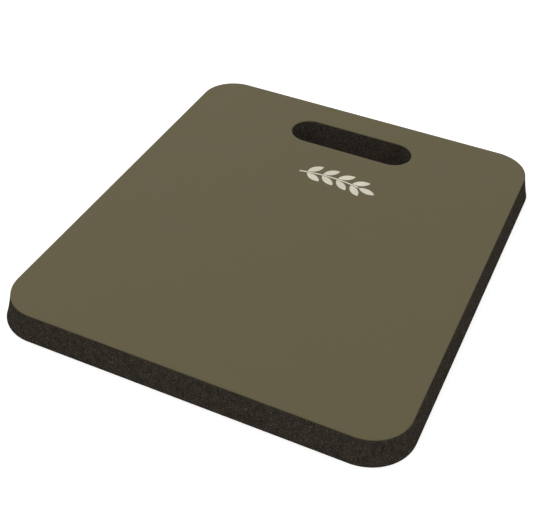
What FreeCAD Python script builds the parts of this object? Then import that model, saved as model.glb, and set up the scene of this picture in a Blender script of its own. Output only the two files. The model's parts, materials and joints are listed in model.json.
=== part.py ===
import FreeCAD, Part
import math
import os

# Kneeling pad: a slab of closed-cell foam with a thin coloured skin bonded to
# its top, cut to shape with a hand slot near one end, and a small print.
#
# Frame, in millimetres: the origin is the centre of the underside, +X runs
# across the width, +Y towards the edge with the hand slot, +Z up.

# Outline at the ground, cut through every layer at once
pad_width = 340.0
pad_length = 400.0
corner_radius = 38.0

# The cut leans: on every side the outline at the ground stands out past the
# outline at the top by this much, and the slot is narrower at the ground too
wall_spread = 5.5

# Thickness of each layer, from the ground up
foam_thickness = 22.0
film_thickness = 0.2
skin_thickness = 0.8
print_thickness = 0.1

# Hand slot at the top: a straight slot with round ends
slot_length = 120.0
slot_width = 37.0
slot_centre_to_edge = 55.5

# Printed sprig: a bowed stem with leaves in pairs and one leaf at its tip
print_centre_x = 12.0
print_to_slot = 32.0
stem_length = 58.0
stem_width = 1.6
stem_bend_radius = 120.0
leaf_length = 16.5
leaf_width = 7.0
leaf_angle = 38.0
leaf_to_stem = 0.7
leaf_pair_count = 4

# Heights of the layers' lower faces
film_bottom = foam_thickness
skin_bottom = film_bottom + film_thickness
print_bottom = skin_bottom + skin_thickness
pad_thickness = print_bottom

slot_centre_y = pad_length / 2 - slot_centre_to_edge
slot_front_y = slot_centre_y - slot_width / 2

UP = FreeCAD.Vector(0, 0, 1)


def rounded_outline(size_x, size_y, radius, centre_y, height):
    """Closed wire of a rectangle with round corners, centred at x = 0."""
    half_x = size_x / 2 - radius
    half_y = size_y / 2 - radius
    quarters = [(half_x, half_y, 0), (-half_x, half_y, 90), (-half_x, -half_y, 180), (half_x, -half_y, 270)]
    arcs = []
    for x, y, start_angle in quarters:
        corner = Part.Circle(FreeCAD.Vector(x, centre_y + y, height), UP, radius)
        start = math.radians(start_angle)
        arcs.append(Part.Arc(corner, start, start + math.pi / 2))
    edges = []
    for arc, following in zip(arcs, arcs[1:] + arcs[:1]):
        edges.append(arc.toShape())
        if arc.EndPoint.distanceToPoint(following.StartPoint) > 1e-6:
            edges.append(Part.LineSegment(arc.EndPoint, following.StartPoint).toShape())
    return Part.Wire(edges)


def pad_outline(height):
    """The pad's outline, drawn in from the ground outline as the wall leans."""
    lean = wall_spread * height / pad_thickness
    return rounded_outline(pad_width - 2 * lean, pad_length - 2 * lean, corner_radius - lean, 0, height)


def slot_outline(height):
    """The slot's outline, narrower towards the ground by the same lean."""
    lean = wall_spread * (1 - height / pad_thickness)
    width = slot_width - 2 * lean
    return rounded_outline(slot_length - 2 * lean, width, width / 2, slot_centre_y, height)


def layer(bottom, thickness):
    """One layer of the pad: the leaning outline with the hand slot cut out."""
    heights = (bottom, bottom + thickness)
    body = Part.makeLoft([pad_outline(height) for height in heights], True, True)
    slot = Part.makeLoft([slot_outline(height) for height in heights], True, True)
    return body.cut(slot).Solids[0]


def stem_point(distance, offset=0.0):
    """Point at a distance along the bowed stem and an offset to its left."""
    turn = distance / stem_bend_radius
    radius = stem_bend_radius + offset
    return FreeCAD.Vector(radius * math.sin(turn), radius * math.cos(turn) - stem_bend_radius, 0)


def stem():
    """Bowed band of even width, from the sprig's foot to its tip."""
    end = stem_length / 2
    half = stem_width / 2
    upper = Part.Arc(stem_point(-end, half), stem_point(0, half), stem_point(end, half))
    lower = Part.Arc(stem_point(-end, -half), stem_point(0, -half), stem_point(end, -half))
    foot = Part.LineSegment(lower.StartPoint, upper.StartPoint)
    tip = Part.LineSegment(upper.EndPoint, lower.EndPoint)
    edges = [foot.toShape(), upper.toShape(), tip.toShape(), lower.toShape()]
    return Part.Face(Part.Wire(Part.__sortEdges__(edges)))


def leaf(base, heading):
    """Pointed leaf between two arcs, from its base out along its heading."""
    along = FreeCAD.Vector(math.cos(heading), math.sin(heading), 0)
    across = FreeCAD.Vector(-along.y, along.x, 0) * (leaf_width / 2)
    middle = base + along * (leaf_length / 2)
    point = base + along * leaf_length
    left = Part.Arc(base, middle + across, point)
    right = Part.Arc(point, middle - across, base)
    return Part.Face(Part.Wire([left.toShape(), right.toShape()]))


def sprig():
    """Stem, leaf pairs evenly spaced along it, and the leaf at its tip."""
    pieces = [stem()]
    pitch = stem_length / leaf_pair_count
    clear = stem_width / 2 + leaf_to_stem
    for index in range(leaf_pair_count):
        distance = (index + 0.5) * pitch - stem_length / 2
        stem_heading = -distance / stem_bend_radius
        for side in (1, -1):
            base = stem_point(distance, side * clear)
            pieces.append(leaf(base, stem_heading + side * math.radians(leaf_angle)))
    tip_distance = stem_length / 2 + leaf_to_stem
    pieces.append(leaf(stem_point(tip_distance), -tip_distance / stem_bend_radius))
    return Part.Compound(pieces)


def printed_mark():
    """The sprig laid across the pad, just in front of the hand slot."""
    flat = sprig()
    box = flat.BoundBox
    move_x = print_centre_x - (box.XMin + box.XMax) / 2
    move_y = slot_front_y - print_to_slot - box.YMax
    flat.translate(FreeCAD.Vector(move_x, move_y, print_bottom))
    return Part.Compound([face.extrude(UP * print_thickness) for face in flat.Faces])


nodes = {
    "foam_core": layer(0, foam_thickness),
    "adhesive_film": layer(film_bottom, film_thickness),
    "top_skin": layer(skin_bottom, skin_thickness),
    "printed_mark": printed_mark(),
}

os.makedirs("parts", exist_ok=True)
for name, shape in nodes.items():
    shape.exportStep("parts/" + name + ".step")
    box = shape.BoundBox
    print(name, len(shape.Solids), "solid(s), valid", shape.isValid(), "volume", round(shape.Volume, 1))
    print("  from", round(box.XMin, 2), round(box.YMin, 2), round(box.ZMin, 2))
    print("  to  ", round(box.XMax, 2), round(box.YMax, 2), round(box.ZMax, 2))
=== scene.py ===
# %% [markdown]
# # A foam kneeling pad, cut on a slope
# The pad is a slab of dark closed-cell foam with a thin olive skin bonded to its top. The outline and the
# hand slot are cut through every layer in one stroke, and the cut leans, so the pad is a little wider at
# the ground than at its top. So the lesson draws that outline by one rule at any height, cuts both layers
# from it, and then spends its effort on what makes foam look like foam: the cells that the cut opens, the
# softened rims and the difference between skin, cut edge and foam.

# %% Load the fixed frame
import json
import math

import bpy
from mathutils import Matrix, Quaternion, Vector


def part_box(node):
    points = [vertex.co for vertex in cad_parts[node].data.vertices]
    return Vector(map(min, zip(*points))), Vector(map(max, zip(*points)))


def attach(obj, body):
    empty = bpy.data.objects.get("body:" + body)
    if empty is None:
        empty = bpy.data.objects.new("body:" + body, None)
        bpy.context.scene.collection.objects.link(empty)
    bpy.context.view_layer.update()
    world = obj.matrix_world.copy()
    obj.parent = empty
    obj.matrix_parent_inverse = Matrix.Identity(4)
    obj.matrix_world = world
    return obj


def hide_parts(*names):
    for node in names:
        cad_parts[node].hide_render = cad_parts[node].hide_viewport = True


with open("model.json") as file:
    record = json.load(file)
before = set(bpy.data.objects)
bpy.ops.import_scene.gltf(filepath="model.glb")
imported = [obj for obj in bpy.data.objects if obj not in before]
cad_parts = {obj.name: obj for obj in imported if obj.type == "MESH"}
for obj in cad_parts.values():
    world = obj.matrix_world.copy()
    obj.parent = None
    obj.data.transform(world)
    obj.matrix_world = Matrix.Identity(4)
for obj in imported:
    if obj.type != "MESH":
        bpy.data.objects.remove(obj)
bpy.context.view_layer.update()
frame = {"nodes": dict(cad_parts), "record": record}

print("CAD nodes:", sorted(frame["nodes"]))

# %% [markdown]
# ## Sizes
# Overall sizes and layer heights come from the frame, so a piece goes where the design says. The corner
# radius, the slot's length and width and how far the wall leans belong to the cut, and the frame has no entry
# for them, so they are named here, in metres. The slot's place is the hand_slot mount in the record.

# %% Read the layer heights and name the sizes of the cut
foam_low, foam_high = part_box("foam_core")
skin_low, skin_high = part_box("top_skin")
ground_width = foam_high.x - foam_low.x
ground_length = foam_high.y - foam_low.y
foam_thickness = foam_high.z - foam_low.z
skin_thickness = skin_high.z - skin_low.z

ground_corner_radius = 0.038
top_slot_length = 0.120
top_slot_width = 0.037
wall_spread = 0.0055
slot_mount = next(m for m in frame["record"]["mounts"] if m["name"] == "hand_slot")
slot_centre = Vector(slot_mount["pos_m"])
print("foam", round(foam_thickness, 4), "skin", round(skin_thickness, 4), "slot at y", slot_centre.y)

# %% [markdown]
# ## Helpers for edit mode
# An operator acts on everything that is selected, so each step first selects exactly what it needs.
# Selecting by place or direction keeps working when the mesh gets finer, where an index would not.

# %% Selecting in edit mode
import bmesh


def deselect_all_objects():
    """Leave no object selected, so the next primitive is alone."""
    if bpy.context.object and bpy.context.object.mode != "OBJECT":
        bpy.ops.object.mode_set(mode="OBJECT")
    bpy.ops.object.select_all(action="DESELECT")


def select_where(kind, test):
    """Select the edges, faces or verts of the edited mesh that pass a test, and count them."""
    mesh = bpy.context.edit_object.data
    edited = bmesh.from_edit_mesh(mesh)
    bpy.ops.mesh.select_all(action="DESELECT")
    bpy.ops.mesh.select_mode(type={"verts": "VERT", "edges": "EDGE", "faces": "FACE"}[kind])
    chosen = [part for part in getattr(edited, kind) if test(part)]
    for part in chosen:
        part.select_set(True)
    edited.select_flush_mode()
    bmesh.update_edit_mesh(mesh)
    return len(chosen)


def apply_all_modifiers(piece):
    """Apply every modifier in order, with this piece alone selected."""
    deselect_all_objects()
    piece.select_set(True)
    bpy.context.view_layer.objects.active = piece
    for modifier in list(piece.modifiers):
        bpy.ops.object.modifier_apply(modifier=modifier.name)


# %% [markdown]
# ## One outline for every height
# A rounded rectangle is a plane whose corner points are bevelled. The slot is another plane whose bevel is
# half its width, which leaves round ends. The wall leans, so towards the top the pad is drawn in and the slot
# is opened out by the same amount. Only the corners get smaller or larger by that, and the straight
# stretches keep their length, so outlines at two heights have matching points and can be bridged. Straight
# edges are divided until they are about as short as the steps in the corners, because the wall has to
# carry the cut cells, and even squares take that relief better than long strips.

# %% Draw a rounded rectangle as a closed loop of short edges
cell_step = 0.0009
merge_distance = cell_step / 10
quarter_turn = math.pi / 2


def rounded_loop(name, size_x, size_y, radius, corner_steps, centre):
    """Closed loop of edges at a height, with every edge about one cell step long."""
    deselect_all_objects()
    bpy.ops.mesh.primitive_plane_add(size=1, location=centre)
    loop = bpy.context.object
    loop.name = name
    bpy.ops.object.mode_set(mode="EDIT")
    bpy.ops.transform.resize(value=(size_x, size_y, 1), center_override=centre)
    bpy.ops.mesh.bevel(offset=radius, segments=corner_steps, affect="VERTICES")
    bpy.ops.mesh.delete(type="ONLY_FACE")
    bpy.ops.mesh.select_all(action="SELECT")
    bpy.ops.mesh.remove_doubles(threshold=merge_distance)
    divide_long_edges()
    bpy.ops.object.mode_set(mode="OBJECT")
    bpy.ops.object.transform_apply(location=True)
    return loop


def divide_long_edges():
    """Divide each straight edge in two passes, because one pass makes at most 100 cuts."""
    for straight in straight_lengths():
        divide_edges(straight, first_parts)
        part = straight / first_parts
        divide_edges(part, round(part / cell_step))


def divide_edges(length, parts):
    """Divide the edges of one length into equal parts."""
    select_where("edges", lambda e: abs(e.calc_length() - length) < length_slack)
    bpy.ops.mesh.subdivide(number_cuts=parts - 1)


def straight_lengths():
    """The different lengths of the edges that are much longer than a cell step."""
    edited = bmesh.from_edit_mesh(bpy.context.edit_object.data)
    return sorted({round(e.calc_length(), 5) for e in edited.edges if e.calc_length() > long_edge})


first_parts = 8
length_slack = cell_step / 4
long_edge = 4 * cell_step


# %% The two loops of the cut at any height
def pad_loop(height):
    """The pad's outline at a height, drawn in as the wall leans."""
    lean = wall_spread * height / skin_high.z
    steps = round(quarter_turn * ground_corner_radius / cell_step)
    size_x = ground_width - 2 * lean
    size_y = ground_length - 2 * lean
    radius = ground_corner_radius - lean
    return rounded_loop("pad_loop", size_x, size_y, radius, steps, (0, 0, height))


def slot_loop(height):
    """The slot's outline at a height, narrower towards the ground by the same lean."""
    lean = wall_spread * (1 - height / skin_high.z)
    steps = round(quarter_turn * top_slot_width / 2 / cell_step)
    size_x = top_slot_length - 2 * lean
    size_y = top_slot_width - 2 * lean
    radius = size_y / 2
    return rounded_loop("slot_loop", size_x, size_y, radius, steps, (0, slot_centre.y, height))


print("corner steps of the pad:", round(quarter_turn * ground_corner_radius / cell_step))

# %% [markdown]
# ## Cutting a layer
# Each layer has four loops, the pad's and the slot's at its lower and its upper face. Bridging each pair
# makes a wall, divided into rows on the way, and filling between the two lower and the two upper loops closes
# the solid. Two insets on each broad face then leave two narrow bands round its rims. The outer band is what
# the cut drags down. The inner band stays flat, so smooth shading fades out across it and the broad face
# behind it keeps its even light.

# %% A layer as a closed solid
drag_band = 0.0016
guard_band = 0.0007
height_slack = 1e-6
wall_tilt = 0.5


def at_height(part, height):
    """True when all of an edge's or a face's points lie at a height."""
    return all(abs(v.co.z - height) < height_slack for v in part.verts)


def cut_layer(name, bottom, top, rows):
    """Closed layer between two heights, with leaning walls divided into rows."""
    loops = [draw(height) for draw in (pad_loop, slot_loop) for height in (bottom, top)]
    for wall in (loops[:2], loops[2:]):
        bridge_wall(wall, rows)
    deselect_all_objects()
    loops[0].select_set(True)
    loops[2].select_set(True)
    bpy.context.view_layer.objects.active = loops[0]
    bpy.ops.object.join()
    layer = loops[0]
    layer.name = name
    bpy.ops.object.mode_set(mode="EDIT")
    for height in (bottom, top):
        select_where("edges", lambda e: at_height(e, height))
        bpy.ops.mesh.fill(use_beauty=True)
        for band in (drag_band, guard_band):
            bpy.ops.mesh.inset(thickness=band, use_even_offset=True)
    bpy.ops.mesh.select_all(action="SELECT")
    bpy.ops.mesh.normals_make_consistent(inside=False)
    bpy.ops.object.mode_set(mode="OBJECT")
    return layer


def bridge_wall(pair, rows):
    """Join two loops of one outline into a wall on the first of them."""
    deselect_all_objects()
    for loop in pair:
        loop.select_set(True)
    bpy.context.view_layer.objects.active = pair[0]
    bpy.ops.object.join()
    bpy.ops.object.mode_set(mode="EDIT")
    bpy.ops.mesh.select_all(action="SELECT")
    bpy.ops.mesh.bridge_edge_loops(number_cuts=rows - 1, interpolation="LINEAR")
    bpy.ops.object.mode_set(mode="OBJECT")


def is_wall(face):
    """True for a face of the outer wall or of the slot's wall."""
    return abs(face.normal.z) < wall_tilt


def is_rim(edge):
    """True for an edge between a wall and a broad face."""
    return len(edge.link_faces) == 2 and is_wall(edge.link_faces[0]) != is_wall(edge.link_faces[1])


foam_rows = round(foam_thickness / cell_step)
foam = cut_layer("foam_slab", foam_low.z, foam_high.z, foam_rows)
skin = cut_layer("olive_skin", skin_low.z, skin_high.z, 1)
print("foam and skin are separate solids of", len(foam.data.polygons), len(skin.data.polygons), "faces")

# %% [markdown]
# ## The foam's walls
# Foam squashes under the blade and springs back, so a cut wall is very slightly hollow and its rims are soft
# rather than sharp. The rims get a small bevel, and the wall is then hollowed by a Displace modifier with no
# texture, whose strength a vertex group fades from the middle of the wall to nothing at its rims.

# %% Soften the rims
rim_softness = 0.00035
rim_steps = 2

deselect_all_objects()
foam.select_set(True)
bpy.context.view_layer.objects.active = foam
bpy.ops.object.mode_set(mode="EDIT")
select_where("edges", is_rim)
bpy.ops.mesh.bevel(offset=rim_softness, segments=rim_steps, affect="EDGES")
bpy.ops.object.mode_set(mode="OBJECT")
print("foam faces after softening the rims:", len(foam.data.polygons))

# %% Hollow the walls
wall_hollow = 0.0003
rim_margin = 0.0012


def weigh_wall(piece, name, weight_at):
    """Vertex group that holds a weight by height above the foam's underside, on the walls only."""
    group = piece.vertex_groups.new(name=name)
    on_wall = {v for face in piece.data.polygons if is_wall(face) for v in face.vertices}
    for index in on_wall:
        height = piece.data.vertices[index].co.z - foam_low.z
        group.add([index], weight_at(height), "REPLACE")
    return group


def hollow_weight(height):
    """Rises from nothing at either rim to one halfway up."""
    return max(0.0, 1 - (2 * height / foam_thickness - 1) ** 2)


def cell_weight(height):
    """One over the wall, fading out within a margin of either rim."""
    return min(1.0, max(0.0, min(height, foam_thickness - height) - rim_softness) / rim_margin)


weigh_wall(foam, "hollow", hollow_weight)
weigh_wall(foam, "cells", cell_weight)
hollow = foam.modifiers.new("wall_hollow", "DISPLACE")
hollow.strength = -wall_hollow
hollow.mid_level = 0
hollow.vertex_group = "hollow"
print("walls hollowed by up to", wall_hollow * 1000, "mm")

# %% [markdown]
# ## The cells that the cut opens
# Closed-cell foam is a froth of bubbles, and a cut opens each bubble that it meets. Two Displace modifiers
# press those bubbles in: a Voronoi texture that measures how much nearer the nearest point is than the
# next one is zero on the thin walls between bubbles and highest in their middles, which is just the shape
# of an opened cell. One texture makes the large cells and one the small. Bump in the material adds only
# what is finer than the mesh.

# %% Press the opened cells into the walls
large_cell = 0.0034
small_cell = 0.0019
large_depth = 0.00022
small_depth = 0.00030
cell_steepness = 3
foam_crease = math.radians(50)


def opened_cells(piece, name, size, depth):
    """Displace modifier that presses Voronoi cells of one size into the walls."""
    texture = bpy.data.textures.new(name, "VORONOI")
    texture.noise_scale = size
    texture.weight_1 = -1
    texture.weight_2 = 1
    texture.noise_intensity = cell_steepness
    pressed = piece.modifiers.new(name, "DISPLACE")
    pressed.texture = texture
    pressed.texture_coords = "LOCAL"
    pressed.strength = -depth
    pressed.mid_level = 0
    pressed.vertex_group = "cells"


opened_cells(foam, "large_cells", large_cell, large_depth)
opened_cells(foam, "small_cells", small_cell, small_depth)
apply_all_modifiers(foam)
bpy.ops.object.shade_smooth_by_angle(angle=foam_crease)
print("foam slab:", len(foam.data.polygons), "faces")

# %% [markdown]
# ## The skin
# The skin is thin and firm. The blade drags its edge down a little before it goes through, so the rim dips
# over the outer band and ends in a fine round. The flat guard band behind it keeps the dip from
# shading the broad top.

# %% Drag the skin's rim down and round it
rim_dip = 0.00018
skin_round = 0.0003
skin_round_steps = 3
skin_crease = math.radians(40)

deselect_all_objects()
skin.select_set(True)
bpy.context.view_layer.objects.active = skin
bpy.ops.object.mode_set(mode="EDIT")
select_where("edges", lambda e: is_rim(e) and e.verts[0].co.z > skin_low.z + skin_thickness / 2)
bpy.ops.transform.translate(value=(0, 0, -rim_dip))
bpy.ops.mesh.bevel(offset=skin_round, segments=skin_round_steps, affect="EDGES")
bpy.ops.object.mode_set(mode="OBJECT")
bpy.ops.object.shade_smooth_by_angle(angle=skin_crease)
print("skin:", len(skin.data.polygons), "faces")

# %% [markdown]
# ## Building materials from nodes
# Small helpers keep the node code readable. One adds a node and feeds its inputs, and the others build on it:
# a sum, a smooth spread of a value, a soft cloud, a blend of two colours, a group with named sockets and
# a material. Every pattern reads Object coordinates. The pieces sit at the origin, so those are metres
# in the pad's own frame, a pattern's size is a real size, and it runs on from piece to piece.

# %% Helpers for node trees
def feed(tree, socket, value):
    """Link an output socket, or set a plain value."""
    if isinstance(value, bpy.types.NodeSocket):
        tree.links.new(value, socket)
    else:
        socket.default_value = value


def add_node(tree, kind, inputs, **options):
    """Add a node, set its options and feed its inputs by name or number."""
    node = tree.nodes.new(kind)
    for option, value in options.items():
        setattr(node, option, value)
    for socket, value in inputs.items():
        feed(tree, node.inputs[socket], value)
    return node


def calculate(tree, operation, first, second):
    """Output of a Math node."""
    return add_node(tree, "ShaderNodeMath", {0: first, 1: second}, operation=operation).outputs[0]


def spread(tree, value, from_low, from_high, to_low, to_high):
    """Output of a smooth Map Range node."""
    inputs = {
        "Value": value, "From Min": from_low, "From Max": from_high, "To Min": to_low, "To Max": to_high}
    return add_node(tree, "ShaderNodeMapRange", inputs, interpolation_type="SMOOTHSTEP").outputs[0]


def cloud(tree, place, scale, detail):
    """Noise node that gives a soft cloud."""
    return add_node(tree, "ShaderNodeTexNoise", {"Vector": place, "Scale": scale, "Detail": detail})


def blend_colours(tree, share, first, second):
    """Output of a colour Mix node."""
    mix = add_node(tree, "ShaderNodeMix", {"Factor": share}, data_type="RGBA")
    feed(tree, mix.inputs[6], first)
    feed(tree, mix.inputs[7], second)
    return mix.outputs[2]


def start_group(name, inputs, outputs):
    """Node group with named float inputs and outputs, and a vector to read."""
    group = bpy.data.node_groups.new(name, "ShaderNodeTree")
    group.interface.new_socket("Vector", in_out="INPUT", socket_type="NodeSocketVector")
    for socket in inputs:
        group.interface.new_socket(socket, in_out="INPUT", socket_type="NodeSocketFloat")
    for socket in outputs:
        group.interface.new_socket(socket, in_out="OUTPUT", socket_type="NodeSocketFloat")
    return group, group.nodes.new("NodeGroupInput").outputs, group.nodes.new("NodeGroupOutput").inputs


def use_group(tree, group, inputs):
    """Place a group in a material and return its outputs."""
    node = add_node(tree, "ShaderNodeGroup", {}, node_tree=group)
    for socket, value in inputs.items():
        feed(tree, node.inputs[socket], value)
    return node.outputs


def start_material(name, slot_name):
    """Material with its node tree, shader and Object coordinates."""
    material = bpy.data.materials.new(name)
    material.use_nodes = True
    material["slot"] = slot_name
    tree = material.node_tree
    place = tree.nodes.new("ShaderNodeTexCoord").outputs["Object"]
    return material, tree, tree.nodes["Principled BSDF"], place


print("node helpers ready")

# %% [markdown]
# ## Two shared effects
# Froth is the pattern of foam: soft round pits of uneven depth, slow patches where the foam is a little
# denser, and a painted glint here and there where part of a cell's rim catches the light. Straight-sided
# cells would look like stone chips, so each pit fades out from its middle, and a fine noise first pushes the
# coordinates about by a share of a cell. The cut walls and the uncut underside both use it, at their own
# sizes. Grain is the fine roughness of a rolled plastic sheet with a slow, faint change of tone. The
# skin, its cut edge, the bond film and the print all use it.

# %% The froth group
wobble_share = 0.8
patch_cells = 3.5
pit_reach = (0.12, 0.52)
shallowest_pit = 0.25
patch_range = (0.32, 0.68)
rim_reach = (0.30, 0.55)
rim_breaks = (0.46, 0.58)

froth, given, result = start_group("froth", ["Cell Size", "Fleck Share"], ["Pit", "Patch", "Fleck"])
froth_scale = calculate(froth, "DIVIDE", 1.0, given["Cell Size"])
wobble = cloud(froth, given["Vector"], froth_scale, 2.0)
centred = add_node(
    froth, "ShaderNodeVectorMath", {0: wobble.outputs["Color"], 1: (0.5, 0.5, 0.5)}, operation="SUBTRACT")
push = calculate(froth, "MULTIPLY", given["Cell Size"], wobble_share)
pushed = add_node(froth, "ShaderNodeVectorMath", {0: centred.outputs[0], "Scale": push}, operation="SCALE")
moved = add_node(froth, "ShaderNodeVectorMath", {0: given["Vector"], 1: pushed.outputs[0]}, operation="ADD")
froth_inputs = {"Vector": moved.outputs[0], "Scale": froth_scale}
cell_body = add_node(froth, "ShaderNodeTexVoronoi", froth_inputs, feature="F1")
own = add_node(froth, "ShaderNodeSeparateColor", {0: cell_body.outputs["Color"]}).outputs
own_depth = spread(froth, own[0], 0.0, 1.0, shallowest_pit, 1.0)
from_middle = cell_body.outputs["Distance"]
inside = spread(froth, from_middle, *pit_reach, 1.0, 0.0)
feed(froth, result["Pit"], calculate(froth, "MULTIPLY", inside, own_depth))
patch_scale = calculate(froth, "DIVIDE", froth_scale, patch_cells)
patch = cloud(froth, given["Vector"], patch_scale, 3.0)
feed(froth, result["Patch"], spread(froth, patch.outputs[0], *patch_range, 0.0, 1.0))
# This mask places painted glints on broken parts of some cells' rims.
rim = spread(froth, from_middle, *rim_reach, 0.0, 1.0)
unlit_share = calculate(froth, "SUBTRACT", 1.0, given["Fleck Share"])
chosen = spread(froth, own[1], unlit_share, 1.0, 0.0, 1.0)
broken = spread(froth, wobble.outputs[0], *rim_breaks, 0.0, 1.0)
chosen_rim = calculate(froth, "MULTIPLY", rim, chosen)
feed(froth, result["Fleck"], calculate(froth, "MULTIPLY", chosen_rim, broken))
print("froth group has", len(froth.nodes), "nodes")

# %% The grain group
slow_to_fine = 70.0
drift_range = (0.3, 0.7)

grain, given, result = start_group("grain", ["Grain Size"], ["Height", "Drift"])
fine_scale = calculate(grain, "DIVIDE", 1.0, given["Grain Size"])
slow_scale = calculate(grain, "DIVIDE", fine_scale, slow_to_fine)
fine = cloud(grain, given["Vector"], fine_scale, 3.0)
slow = cloud(grain, given["Vector"], slow_scale, 4.0)
feed(grain, result["Height"], fine.outputs[0])
feed(grain, result["Drift"], spread(grain, slow.outputs[0], *drift_range, 0.0, 1.0))
print("grain group has", len(grain.nodes), "nodes")

# %% [markdown]
# ## The olive skin
# The skin is one flat colour to the eye, with almost no shine. A few hundredths between two olives, drifting
# over centimetres, and a roughness that drifts with it keep it from looking like paint on glass. The grain's
# bump is a few hundredths of a millimetre, so it shows only close to.

# %% Skin, and the edge of its cut, darkened with painted shade
def coloured_sheet(name, slot_name, dull, light, roughness, grain_size, grain_depth):
    """Plain sheet material: two near colours, drifting roughness and a fine grain."""
    material, tree, shader, place = start_material(name, slot_name)
    sheet = use_group(tree, grain, {"Vector": place, "Grain Size": grain_size})
    feed(tree, shader.inputs["Base Color"], blend_colours(tree, sheet["Drift"], dull, light))
    feed(tree, shader.inputs["Roughness"], spread(tree, sheet["Drift"], 0.0, 1.0, *roughness))
    bump = add_node(tree, "ShaderNodeBump", {"Height": sheet["Height"], "Distance": grain_depth})
    feed(tree, shader.inputs["Normal"], bump.outputs[0])
    shader.inputs["Specular IOR Level"].default_value = sheet_shine
    return material


sheet_shine = 0.3
olive_dull = (0.120, 0.102, 0.0505, 1)
olive_light = (0.124, 0.1055, 0.0525, 1)
# The cut edge's darker olive is painted shade on the skin's thin side, not a colour of the skin.
olive_painted_shade_dull = (0.062, 0.053, 0.027, 1)
olive_painted_shade_light = (0.088, 0.076, 0.042, 1)
face_roughness = (0.70, 0.76)
edge_roughness = (0.80, 0.95)
skin_grain = 0.0004
skin_grain_depth = 0.00003

skin_face = coloured_sheet(
    "skin_face", "skin", olive_dull, olive_light, face_roughness, skin_grain, skin_grain_depth)
skin_edge = coloured_sheet(
    "skin_cut_edge", "skin", olive_painted_shade_dull, olive_painted_shade_light, edge_roughness, skin_grain,
    2 * skin_grain_depth)
print("skin materials:", skin_face.name, skin_edge.name)

# %% [markdown]
# ## The foam
# Foam looks dark and matt because light gets lost in its cells, so it is given no shine at all. What the eye
# reads as foam is fine: pits darkened with painted shade, lighter walls between them, soft patches, and a few
# painted glints. The cut walls show opened cells of two sizes. The underside is the sheet's own face, with
# smaller, closed cells.

# %% Cut foam and uncut foam
fine_cell_share = 0.42
fine_pit_share = 0.55
densest_patch = 0.68
smoothest_foam = 0.84


def foam_surface(name, cell_size, glint_share, depth, colours):
    """Foam material from froth at two sizes."""
    pit_painted_shade, wall_brown, painted_glint_grey = colours
    material, tree, shader, place = start_material(name, "foam")
    large = use_group(tree, froth, {"Vector": place, "Cell Size": cell_size, "Fleck Share": glint_share})
    fine_size = cell_size * fine_cell_share
    small = use_group(tree, froth, {"Vector": place, "Cell Size": fine_size, "Fleck Share": glint_share})
    fine_pit = calculate(tree, "MULTIPLY", small["Pit"], fine_pit_share)
    pit = calculate(tree, "MAXIMUM", large["Pit"], fine_pit)
    height = calculate(tree, "SUBTRACT", 1.0, pit)
    open_patch = spread(tree, large["Patch"], 0.0, 1.0, densest_patch, 1.0)
    # The pits are darkened with painted shade, and deeper pits are darker.
    shade = blend_colours(tree, calculate(tree, "MULTIPLY", height, open_patch), pit_painted_shade, wall_brown)
    # The lighter grey on some cell rims is a painted glint.
    feed(tree, shader.inputs["Base Color"], blend_colours(tree, small["Fleck"], shade, painted_glint_grey))
    feed(tree, shader.inputs["Roughness"], spread(tree, small["Pit"], 0.0, 1.0, smoothest_foam, 1.0))
    bump = add_node(tree, "ShaderNodeBump", {"Height": height, "Distance": depth})
    feed(tree, shader.inputs["Normal"], bump.outputs[0])
    shader.inputs["Specular IOR Level"].default_value = foam_shine
    return material


foam_shine = 0.0
cut_cell = 0.0014
cut_glint_share = 0.30
cut_depth = 0.00018
# In both colour sets: first the pit colour, painted shade; then the wall brown; then the grey of painted
# glints.
cut_colours = ((0.009, 0.0073, 0.0053, 1), (0.043, 0.0357, 0.0278, 1), (0.150, 0.132, 0.108, 1))
face_cell = 0.0010
face_glint_share = 0.12
face_depth = 0.00006
face_colours = ((0.019, 0.0155, 0.0117, 1), (0.054, 0.0445, 0.035, 1), (0.098, 0.085, 0.069, 1))

foam_wall = foam_surface("foam_cut_wall", cut_cell, cut_glint_share, cut_depth, cut_colours)
foam_face = foam_surface("foam_sheet_face", face_cell, face_glint_share, face_depth, face_colours)
print("foam materials:", foam_wall.name, foam_face.name)

# %% [markdown]
# ## The bond film and the print
# The film shows only as a hairline in the wall between foam and skin. The print is a thin layer of
# off-white ink, pressed on hot. Both are shaped by the design already, so they keep the meshes that the
# frame brought and only take a better finish.

# %% Film and ink
film_dark = (0.020, 0.017, 0.006, 1)
film_light = (0.034, 0.029, 0.012, 1)
ink_dull = (0.635, 0.607, 0.498, 1)
ink_light = (0.72, 0.69, 0.57, 1)
film_roughness = (0.50, 0.70)
ink_roughness = (0.55, 0.68)

bond_film = coloured_sheet(
    "bond_film", "film", film_dark, film_light, film_roughness, skin_grain, skin_grain_depth)
print_ink = coloured_sheet(
    "print_ink", "print", ink_dull, ink_light, ink_roughness, skin_grain / 2, skin_grain_depth)
print("film and ink:", bond_film.name, print_ink.name)

# %% [markdown]
# ## Dressing the pieces
# Each modelled piece takes one material for its broad faces and one for its walls, chosen face by face
# from the face's own direction. A carried node takes its finish in its own material slot.

# %% Put the materials on
def dress(piece, broad, wall):
    """Give the broad faces one material and the walls another."""
    piece.data.materials.clear()
    piece.data.materials.append(broad)
    piece.data.materials.append(wall)
    for face in piece.data.polygons:
        face.material_index = int(is_wall(face))


dress(foam, foam_face, foam_wall)
dress(skin, skin_face, skin_edge)
for node_name, material in (("adhesive_film", bond_film), ("printed_mark", print_ink)):
    carried = frame["nodes"][node_name]
    carried.data.materials.clear()
    carried.data.materials.append(material)
print("walls on the foam:", sum(face.material_index for face in foam.data.polygons))

# %% [markdown]
# ## Each piece on the body
# The pad has no joints, so every piece rides on the one body. The modelled foam and skin are attached to it,
# and the frame's foam_core and top_skin that they replace are hidden.


for piece, node_name, slot_name in ((foam, "foam_core", "foam"), (skin, "top_skin", "skin")):
    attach(piece, "root")
    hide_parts(node_name)

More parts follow.
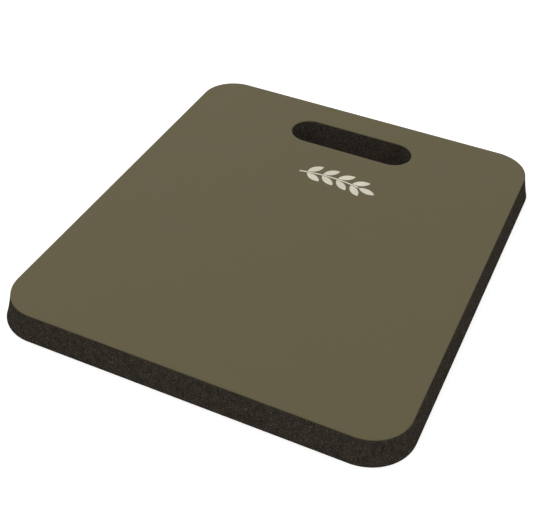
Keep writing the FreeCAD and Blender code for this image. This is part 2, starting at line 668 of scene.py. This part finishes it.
# %% [markdown]
# ## Floor and light
# A pale board lit from all round is how such a pad is shown: no hard shadow and nothing to reflect. The floor
# looks a little brighter to the camera than it is, so it stays white, yet it throws no extra light up into
# the slot, whose walls have to get darker towards the ground. It is clear from below, so that the
# underside can be looked at too.

# %% Floor and soft light
floor_size = 8.0
floor_drop = 0.0001
floor_white = (0.86, 0.86, 0.86, 1)
floor_glow = 0.5

deselect_all_objects()
bpy.ops.mesh.primitive_plane_add(size=floor_size, location=(0, 0, foam_low.z - floor_drop))
floor = bpy.context.object
floor.name = "studio_floor"
board = bpy.data.materials.new("pale_board")
board.use_nodes = True
board_tree = board.node_tree
board_shader = board_tree.nodes["Principled BSDF"]
board_shader.inputs["Base Color"].default_value = floor_white
board_shader.inputs["Roughness"].default_value = 1.0
board_shader.inputs["Specular IOR Level"].default_value = 0.0
board_shader.inputs["Emission Color"].default_value = (1, 1, 1, 1)
seen_directly = board_tree.nodes.new("ShaderNodeLightPath").outputs["Is Camera Ray"]
glow = calculate(board_tree, "MULTIPLY", seen_directly, floor_glow)
feed(board_tree, board_shader.inputs["Emission Strength"], glow)
from_below = board_tree.nodes.new("ShaderNodeNewGeometry").outputs["Backfacing"]
clear = board_tree.nodes.new("ShaderNodeBsdfTransparent")
one_sided = add_node(
    board_tree, "ShaderNodeMixShader", {0: from_below, 1: board_shader.outputs[0], 2: clear.outputs[0]})
board_tree.links.new(one_sided.outputs[0], board_tree.nodes["Material Output"].inputs["Surface"])
floor.data.materials.append(board)

sky_strength = 0.80

sky = bpy.data.worlds.new("soft_room")
bpy.context.scene.world = sky
sky.use_nodes = True
sky_light = sky.node_tree.nodes["Background"]
sky_light.inputs["Color"].default_value = (1, 1, 1, 1)
seen = sky.node_tree.nodes.new("ShaderNodeLightPath").outputs["Is Camera Ray"]
feed(sky.node_tree, sky_light.inputs["Strength"], spread(sky.node_tree, seen, 0.0, 1.0, sky_strength, 1.0))

lamp_power = 9.0
lamp_size = 1.6
lamp_place = Vector((-1.1, 0.7, 1.9))

bpy.ops.object.light_add(type="AREA", location=lamp_place)
lamp = bpy.context.object
lamp.name = "soft_lamp"
lamp.data.energy = lamp_power
lamp.data.size = lamp_size
lamp.rotation_mode = "QUATERNION"
lamp.rotation_quaternion = (-lamp_place).to_track_quat("-Z", "Y")
bpy.context.scene.view_settings.view_transform = "Standard"
print("floor, sky and lamp ready")

# %% [markdown]
# ## Camera
# The camera stands in front and to the right, looks down at the pad and leans a little. Its
# place is worked out from those angles, the point that it aims at and its distance.

# %% Place the camera
camera_azimuth = math.radians(22.56)
camera_elevation = math.radians(40.09)
camera_lean = math.radians(3.07)
camera_distance = 0.8308
camera_lens = 68.23
nearest_seen = 0.05
farthest_seen = 20.0
aim = Vector((0.0042, -0.0545, skin_high.z))

back = Vector((
    math.sin(camera_azimuth) * math.cos(camera_elevation),
    -math.cos(camera_azimuth) * math.cos(camera_elevation),
    math.sin(camera_elevation)))
bpy.ops.object.camera_add(location=aim + back * camera_distance)
camera = bpy.context.object
camera.name = "camera"
camera.data.lens = camera_lens
camera.data.clip_start = nearest_seen
camera.data.clip_end = farthest_seen
camera.rotation_mode = "QUATERNION"
camera.rotation_quaternion = (-back).to_track_quat("-Z", "Y") @ Quaternion((0, 0, 1), camera_lean)
bpy.context.scene.camera = camera
print("camera at", [round(v, 3) for v in camera.location])
